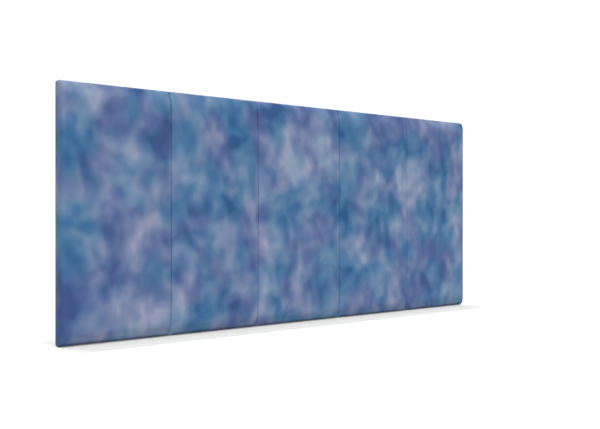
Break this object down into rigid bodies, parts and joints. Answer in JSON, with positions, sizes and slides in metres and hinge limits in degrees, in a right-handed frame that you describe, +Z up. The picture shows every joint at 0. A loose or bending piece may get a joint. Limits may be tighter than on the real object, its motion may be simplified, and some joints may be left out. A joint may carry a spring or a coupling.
{
  "type": "wall punch pad",
  "caption": "Wide wall-hung striking pad: plywood board and layered foam in upright channels under a sewn coated-fabric cover, hung on interlocking aluminium rails.",
  "frame": {"origin": "middle of the upper wall rail's length, on its back face, which lies on the wall", "axes": "+Z up; +Y into the wall, so the padded face looks along -Y; +X along the pad's length, to the right of a person who faces it"},
  "size_m": [3.05, 0.067, 1.22],
  "materials": {
    "cover": "smooth coated fabric with a soft sheen and a mottled blue, lilac and grey print",
    "soft_foam": "open-cell polyurethane foam",
    "firm_foam": "bonded chip foam",
    "plywood": "sanded birch plywood, unfinished",
    "tape": "plain woven polypropylene tape",
    "rail": "extruded, mill finish",
    "screw": "bright zinc plated",
    "buffer": "matt moulded rubber"
  },
  "bodies": {
    "wall_rails": {"wall_rail_upper": "rail", "wall_rail_lower": "rail"},
    "pad": {"backer_board": "plywood", "foam_core_1": "firm_foam", "foam_core_2": "firm_foam", "foam_core_3": "firm_foam", "foam_core_4": "firm_foam", "foam_core_5": "firm_foam", "foam_top_1": "soft_foam", "foam_top_2": "soft_foam", "foam_top_3": "soft_foam", "foam_top_4": "soft_foam", "foam_top_5": "soft_foam", "cover_panel_1": "cover", "cover_panel_2": "cover", "cover_panel_3": "cover", "cover_panel_4": "cover", "cover_panel_5": "cover", "pull_strip_1": "tape", "pull_strip_2": "tape", "pull_strip_3": "tape", "pull_strip_4": "tape", "pad_rail_upper": "rail", "pad_rail_lower": "rail", "rail_screw_upper_1": "screw", "rail_screw_upper_2": "screw", "rail_screw_upper_3": "screw", "rail_screw_upper_4": "screw", "rail_screw_upper_5": "screw", "rail_screw_upper_6": "screw", "rail_screw_upper_7": "screw", "rail_screw_lower_1": "screw", "rail_screw_lower_2": "screw", "rail_screw_lower_3": "screw", "rail_screw_lower_4": "screw", "rail_screw_lower_5": "screw", "rail_screw_lower_6": "screw", "rail_screw_lower_7": "screw", "wall_bumper_1": "buffer", "wall_bumper_2": "buffer", "wall_bumper_3": "buffer", "wall_bumper_4": "buffer"}
  },
  "joints": [
    {"name": "pad_lift", "type": "slide", "parent": "wall_rails", "child": "pad", "axis": [0, 0, 1], "range_m": [0, 0.025]}
  ]
}
